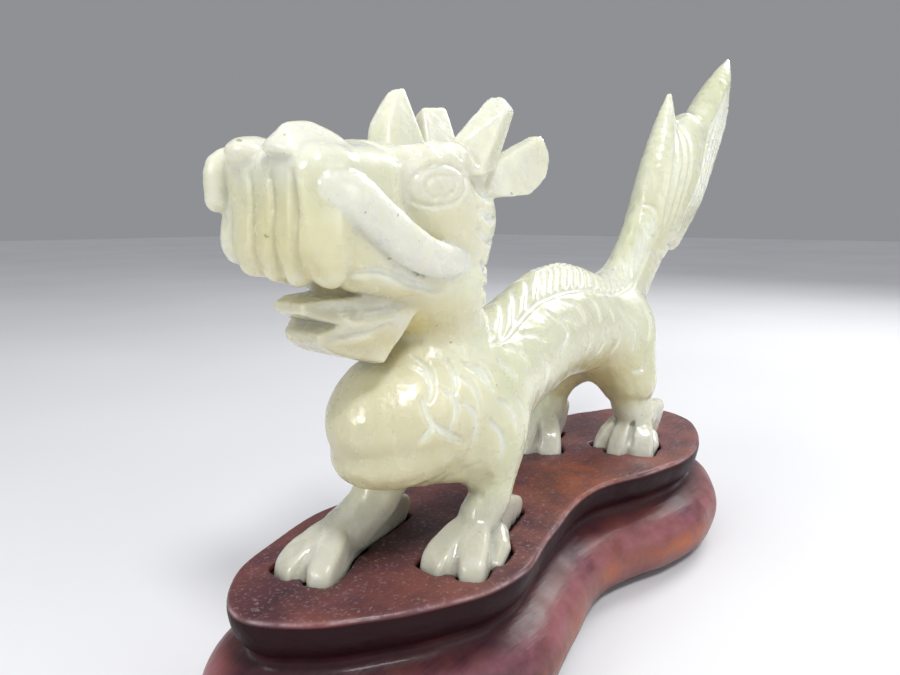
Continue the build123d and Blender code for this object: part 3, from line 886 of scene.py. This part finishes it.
def height_band(tree, stops):
    """A value that follows the height above the table, through stops of (millimetres, value)."""
    place = tree.nodes.new("ShaderNodeTexCoord")
    split = tree.nodes.new("ShaderNodeSeparateXYZ")
    share = tree.nodes.new("ShaderNodeMath")
    share.operation = "MULTIPLY"
    share.inputs[1].default_value = 1.0 / (BAND_TOP * MM)
    tree.links.new(place.outputs["Object"], split.inputs["Vector"])
    tree.links.new(split.outputs["Z"], share.inputs[0])
    return ramp(tree, share.outputs[0], [(z / BAND_TOP, value) for z, value in stops])


def product(tree, a, b):
    """One value times another."""
    node = tree.nodes.new("ShaderNodeMath")
    node.operation = "MULTIPLY"
    tree.links.new(a, node.inputs[0])
    tree.links.new(b, node.inputs[1])
    return node.outputs[0]


def bump(tree, height, distance, strength, under=None):
    """Small relief that follows a value, laid over another relief if one is given."""
    node = tree.nodes.new("ShaderNodeBump")
    node.inputs["Distance"].default_value = distance
    node.inputs["Strength"].default_value = strength
    tree.links.new(height, node.inputs["Height"])
    if under:
        tree.links.new(under, node.inputs["Normal"])
    return node.outputs["Normal"]


def jade_material():
    material, tree, shader = new_material("pale_jade")
    cloud = ramp(tree, noise(tree, 55, 3), ((0.35, 0.0), (0.68, 1.0)))
    body = mix(tree, cloud, JADE_GREEN, JADE_MILKY)
    # Honey tone, partly the stone's own and partly painted shade on faces that look down and under the
    # beard, chest and belly
    honey_and_painted_shade = mix(tree, attribute(tree, "honey_and_painted_shade"), body, JADE_HONEY_SHADE)
    # Paler feet, horns, nose and long lip, and a painted glow where the jade is thin
    pale = mix(tree, attribute(tree, "pale"), honey_and_painted_shade, JADE_PALE_AND_GLOW)
    # Painted shade darkens the jade under the beard and the chest, on the flank and on the feet
    painted_jade_shade = mix(tree, attribute(tree, "painted_jade_shade"), pale, JADE_SHADE_TONE)
    # The carved grooves are whitened: partly frosted stone, partly a painted highlight along the cut lines
    frosted_and_glint = mix(tree, attribute(tree, "cut"), painted_jade_shade, JADE_FROSTED_GLINT)
    specks = ramp(tree, noise(tree, 900, 1), ((0.775, 0.0), (0.80, 0.7)))
    colour = mix(tree, specks, frosted_and_glint, JADE_SPECK)
    tree.links.new(colour, shader.inputs["Base Color"])
    gloss = ramp(tree, noise(tree, 300, 5), ((0.30, 0.16), (0.70, 0.42)))
    tree.links.new(gloss, shader.inputs["Roughness"])
    for name, value in JADE_FINISH.items():
        shader.inputs[name].default_value = value
    fine = bump(tree, noise(tree, 1100, 3), 0.00016, 0.5)
    tree.links.new(bump(tree, noise(tree, 170, 3), 0.0012, 0.30, fine), shader.inputs["Normal"])
    return material


def rosewood_material():
    material, tree, shader = new_material("stained_rosewood")
    grain = ramp(tree, noise(tree, 160, 6, ALONG_GRAIN), WOOD_GRAIN)
    patch = ramp(tree, noise(tree, 90, 5), ((0.42, 0.0), (0.60, 1.0)))
    red = mix(tree, patch, grain, WOOD_RED)
    rubbed = product(tree, attribute(tree, "worn"),
                     ramp(tree, noise(tree, 230, 6), ((0.36, 0.30), (0.58, 1.0))))
    worn = mix(tree, rubbed, red, WOOD_RUBBED)
    # Painted sheen: a broken pinkish haze over the flange's top
    painted_sheen = product(tree, height_band(tree, ((6.2, 0.0), (7.9, 0.45), (9.4, 0.40), (10.2, 0.0))),
                    ramp(tree, noise(tree, 260, 6), ((0.40, 0.15), (0.62, 1.0))))
    sheened = mix(tree, painted_sheen, worn, WOOD_SHEEN)
    # Painted shade: the cove, the plinth under the flange and the deck behind the front feet are darkened
    painted_wood_shade = mix(tree, attribute(tree, "painted_wood_shade"), sheened, WOOD_SHADE_TONE)
    # Painted shade: the side of the deck is painted nearly black, and a painted highlight runs along its
    # upper edge
    side = height_band(tree, ((12.4, 0.0), (13.0, 1.0), (17.3, 1.0), (17.5, 0.0)))
    shaded = mix(tree, side, painted_wood_shade, WOOD_SHADE_TONE)
    # Painted highlight: a broken pale line along the deck's outer upper edge
    rim = product(tree, height_band(tree, ((17.50, 0.0), (17.62, 0.55), (17.74, 0.55), (17.86, 0.0))),
                  ramp(tree, noise(tree, 330, 5), ((0.42, 0.10), (0.60, 1.0))))
    glinted = mix(tree, product(tree, rim, attribute(tree, "outer")), shaded, WOOD_GLINT)
    dusty = height_band(tree, ((17.6, 0.0), (17.9, 1.0)))
    dust = product(tree, ramp(tree, noise(tree, 2200, 3), ((0.56, 0.0), (0.78, 1.0))), dusty)
    tree.links.new(mix(tree, dust, glinted, WOOD_DUST), shader.inputs["Base Color"])
    polished = ramp(tree, noise(tree, 240, 4), ((0.3, 0.34), (0.7, 0.56)))
    matte = ramp(tree, noise(tree, 240, 4), ((0.3, 0.50), (0.7, 0.74)))
    gloss = mix(tree, dusty, polished, matte)
    tree.links.new(gloss, shader.inputs["Roughness"])
    hollow = height_band(tree, ((8.6, 0.5), (10.4, 0.2), (12.4, 0.12), (17.3, 0.12), (17.5, 0.55)))
    tree.links.new(hollow, shader.inputs["Specular IOR Level"])
    tree.links.new(ramp(tree, side, ((0.0, 0.10), (1.0, 0.0))), shader.inputs["Coat Weight"])
    shader.inputs["Coat Roughness"].default_value = 0.16
    fine = bump(tree, noise(tree, 900, 4, (0.12, 1.0, 1.0)), 0.0003, 0.5)
    tree.links.new(bump(tree, noise(tree, 110, 2), 0.0012, 0.3, fine), shader.inputs["Normal"])
    return material


def paint(piece, name, values):
    """Gives every point a value from 0 to 1, which the material reads by name."""
    layer = piece.data.attributes.new(name, "FLOAT", "POINT")
    layer.data.foreach_set("value", np.clip(values, 0.0, 1.0).astype(np.float32))


def near(points, centre, reach):
    """1 around the centre, fading to 0 a quarter beyond `reach` along each axis."""
    d = np.sqrt((((points - centre) / reach) ** 2).sum(1))
    return np.clip(1.25 - d, 0.0, 1.0)


def strongest(points, spots):
    """The strongest of several soft spots, given as (weight, centre, reach)."""
    return np.maximum.reduce([weight * near(points, centre, reach) for weight, centre, reach in spots])


# ---- pieces

# Where the jade is honey-coloured and partly darkened by painted shade, where it is pale, and where painted
# shade darkens it: (weight, centre, reach)
HONEY_SHADE_SPOTS = ((0.7, (-47, -3, 54), (8, 9, 9)), (1.2, (-37, -3, 48), (13, 8, 6)),
              (0.8, (-33, -3, 34), (12, 12, 12)), (0.55, (-31, -3, 60), (9, 9, 7)),
              (0.9, (14, 0, 32), (18, 10, 8)))
PALE_SPOTS = ((0.8, (-18, 0, 72), (14, 14, 7)), (0.9, (-47, -3, 67), (9, 12, 5)))
JADE_SHADE_SPOTS = ((0.50, (-42, -2, 48), (8, 8, 5)), (0.25, (-2, 0, 44), (22, 12, 8)),
              (0.36, (-36, -3, 33), (10, 10, 10)))
ANKLE_Z = 26.0  # the feet are paler below this height
HAND_WANDER = (0.05, 4.3)  # unevenness left by hand, and the length of its waves
LIP_FADE = 0.15  # distance over which the long lip's pale colour ends


def build_dragon(clay):
    """The dragon's mesh, with the values that its colours follow."""
    points, quads = clay.mesh()
    out = clay.outward(points)
    # How deep each point lies in a carved groove, which whitens it with frosting and a painted highlight
    carved = (-clay.at(points, clay.smooth_count) - 0.08) / 0.4
    rough, wave = HAND_WANDER
    x, y, z = points.T
    points += out * (rough * wander(x, y, z, wave) * np.clip((z - SOLE_Z) / 2.0, 0, 1))[:, None]
    piece = make_piece("dragon", points, quads)
    below_ankle = ANKLE_Z - z
    ahead = np.clip(0.5 - x / 20.0, 0.35, 1.0)
    thin = np.clip((clay.at(points - 2.2 * out) + 2.0) / 1.6, 0.0, 1.0)
    to_lip = np.minimum(*(lip(side).distance(x, y, z) for side in (-1, 1)))
    # Honey tone in spots, and painted shade on faces that look down
    honey_and_painted_shade = 0.70 * strongest(points, HONEY_SHADE_SPOTS) + 0.25 * np.clip(0.3 - out[:, 2], 0.0, 1.0)
    # The feet, horns, nose and long lip are paler; where the jade is thin, the paleness is a painted glow
    pale = np.maximum.reduce([0.85 * np.clip(below_ankle / 5.0, 0, 1), strongest(points, PALE_SPOTS),
                              0.5 * thin, 0.75 * np.clip(1.0 - to_lip / LIP_FADE, 0, 1)])
    # Painted shade on the feet below the ankle, most on the front ones, and in the shade spots
    painted_jade_shade = np.maximum(0.48 * ahead * np.clip(below_ankle / 3.0, 0, 1), strongest(points, JADE_SHADE_SPOTS))
    paint(piece, "cut", carved)
    paint(piece, "painted_jade_shade", painted_jade_shade)
    paint(piece, "honey_and_painted_shade", honey_and_painted_shade * (1.0 - np.clip(pale, 0, 1)))
    paint(piece, "pale", pale)
    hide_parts("jade_dragon")
    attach(piece, "dragon")
    piece.data.materials.append(jade_material())


FLANGE_Z = 5.4  # the flange's bulge, which is rubbed bright
# The cove is darkened by painted shade
COVE_Z = 11.6  # the cove, which stays dark
RIM_WIDTH = 3.0  # strip along the outline that counts as its edge


def build_stand(figure):
    """The stand's mesh, with the values that its colours follow."""
    points, quads = stand_clay(figure).mesh()
    piece = make_piece("carved_stand", points, quads)
    x, y, z = points.T
    spread = 0.5 + 0.5 * wander(x, y, z, 31.0)
    worn = (1.1 * np.exp(-((z - FLANGE_Z) / 1.8) ** 2) * spread + 0.2 * spread * (z > 17)
            + 0.4 * near(points, (4, -5, 18), (14, 9, 2)))
    # Painted shade in the cove and on the plinth, and a painted shadow on the deck behind the front feet
    painted_wood_shade = (0.9 * np.exp(-((z - COVE_Z) / 1.3) ** 2) + np.clip((1.9 - z) / 0.5, 0, 1)
            + 0.75 * (0.3 + 0.7 * spread) * near(points, (-28, 2, 18), (18, 12, 2))
            + 0.15 * near(points, (-2, -2, 18), (12, 10, 2)))
    paint(piece, "worn", worn)
    paint(piece, "painted_wood_shade", painted_wood_shade)
    # The strip along the outline where the painted highlight of the deck's edge goes
    paint(piece, "outer", plan_distance(stand_outline())(x, y) + RIM_WIDTH)
    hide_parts("wooden_stand")
    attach(piece, "stand")
    piece.data.materials.append(rosewood_material())


# ---- setting

CAMERA_PLACE = (-0.0870, -0.0560, 0.0590)
CAMERA_YAW = 50.0  # degrees from +Y towards +X
CAMERA_PITCH = 10.0  # degrees below level
LENS = 27.04
SENSOR = 36.0
AIM = Vector((0.0, 0.0, 0.038))
# Round lamps as name, place, size and watts
LAMPS = (
    ("key", (-0.14, -0.24, 0.42), 0.10, 1.3),
    ("fill", (0.06, -0.50, 0.20), 0.30, 0.45),
    ("front", (-0.42, 0.06, 0.20), 0.16, 0.55),
    ("rim", (0.38, -0.04, 0.34), 0.20, 1.2),
)


def build_floor():
    """A plain pale floor."""
    bpy.ops.mesh.primitive_plane_add(size=4.0)
    floor = bpy.context.object
    floor.name = "floor"
    material, tree, shader = new_material("pale_floor")
    tone = ramp(tree, noise(tree, 6, 2), ((0.3, (0.70, 0.70, 0.72)), (0.7, (0.76, 0.76, 0.78))))
    tree.links.new(tone, shader.inputs["Base Color"])
    shader.inputs["Roughness"].default_value = 0.7
    floor.data.materials.append(material)


def add_lamp(name, place, size, watts):
    """A soft white lamp that looks at the figure's middle."""
    data = bpy.data.lights.new(name, "AREA")
    data.shape = "DISK"
    data.size = size
    data.energy = watts
    light = add_object(name, data)
    light.location = place
    light.rotation_euler = (AIM - Vector(place)).to_track_quat("-Z", "Y").to_euler()


def add_sun(strength, spread):
    """Even light from above, so that the floor stays pale far off."""
    data = bpy.data.lights.new("sky", "SUN")
    data.energy = strength
    data.angle = radians(spread)
    add_object("sky", data).rotation_euler = (radians(-18), radians(-20), 0)


def build_lights():
    """Even studio light around the figure."""
    world = bpy.data.worlds.new("studio")
    world.use_nodes = True
    background = world.node_tree.nodes["Background"]
    background.inputs["Color"].default_value = (0.92, 0.94, 1.0, 1.0)
    background.inputs["Strength"].default_value = 0.30
    bpy.context.scene.world = world
    bpy.context.scene.view_settings.view_transform = "Standard"
    add_sun(0.55, 60)
    for name, place, size, watts in LAMPS:
        add_lamp(name, place, size, watts)


def build_camera():
    """The photo's viewpoint."""
    data = bpy.data.cameras.new("camera")
    data.lens = LENS
    data.sensor_width = SENSOR
    data.clip_start = 0.005
    camera = add_object("camera", data)
    camera.location = CAMERA_PLACE
    yaw, pitch = radians(CAMERA_YAW), radians(CAMERA_PITCH)
    look = Vector((sin(yaw) * cos(pitch), cos(yaw) * cos(pitch), -sin(pitch)))
    camera.rotation_euler = look.to_track_quat("-Z", "Y").to_euler()
    bpy.context.scene.camera = camera


figure = dragon_clay()
build_dragon(figure)
build_stand(figure)
build_floor()
build_lights()
build_camera()
